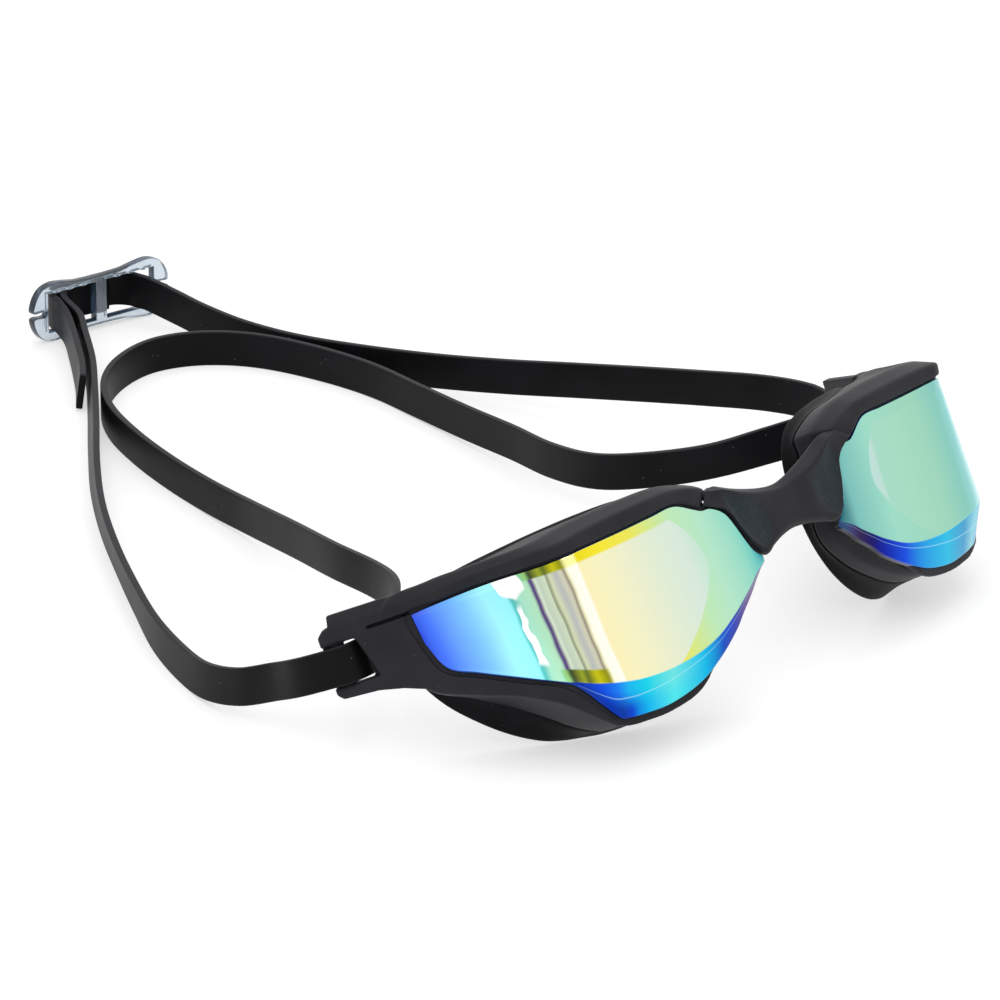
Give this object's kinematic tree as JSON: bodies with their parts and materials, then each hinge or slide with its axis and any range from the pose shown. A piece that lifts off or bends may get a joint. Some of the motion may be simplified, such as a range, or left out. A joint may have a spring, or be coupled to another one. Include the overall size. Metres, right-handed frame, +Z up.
{
  "type": "swim goggles",
  "caption": "Wrap-around swim goggles with mirrored lenses, soft gaskets, snap-in nose bridge, a strap looped through both temples and a clear back buckle.",
  "frame": {"origin": "on the table, midway between the two lens units, under the lower inner corners of the lenses", "axes": "+Z up off the table, lenses face -Y, +X towards the wearer's left lens"},
  "size_m": [0.1679, 0.2326, 0.043],
  "materials": {
    "frame": "matte charcoal black moulded plastic",
    "bridge": "matte charcoal black moulded plastic",
    "lens": "glossy polycarbonate with a mirror coating that runs blue, green and gold",
    "gasket": "soft black silicone",
    "strap": "satin black silicone",
    "buckle": "clear bluish plastic"
  },
  "bodies": {
    "lens_units": {"left_frame": "frame", "right_frame": "frame", "left_lens": "lens", "right_lens": "lens", "left_gasket": "gasket", "right_gasket": "gasket"},
    "bridge": {"nose_bridge": "bridge"},
    "headband": {"strap": "strap"},
    "buckle": {"strap_buckle": "buckle"}
  },
  "joints": [
    {"name": "bridge_release", "type": "slide", "parent": "lens_units", "child": "bridge", "axis": [0, -0.9135, 0.4067], "range_m": [0, 0.012]},
    {"name": "strap_swing", "type": "hinge", "parent": "lens_units", "child": "headband", "pos_m": [0, 0.04575, 0.01648], "axis": [1, 0, 0], "range_deg": [0, 6]},
    {"name": "buckle_slide", "type": "slide", "parent": "headband", "child": "buckle", "axis": [0.9703, -0.2419, 0], "range_m": [-0.003, 0]}
  ]
}
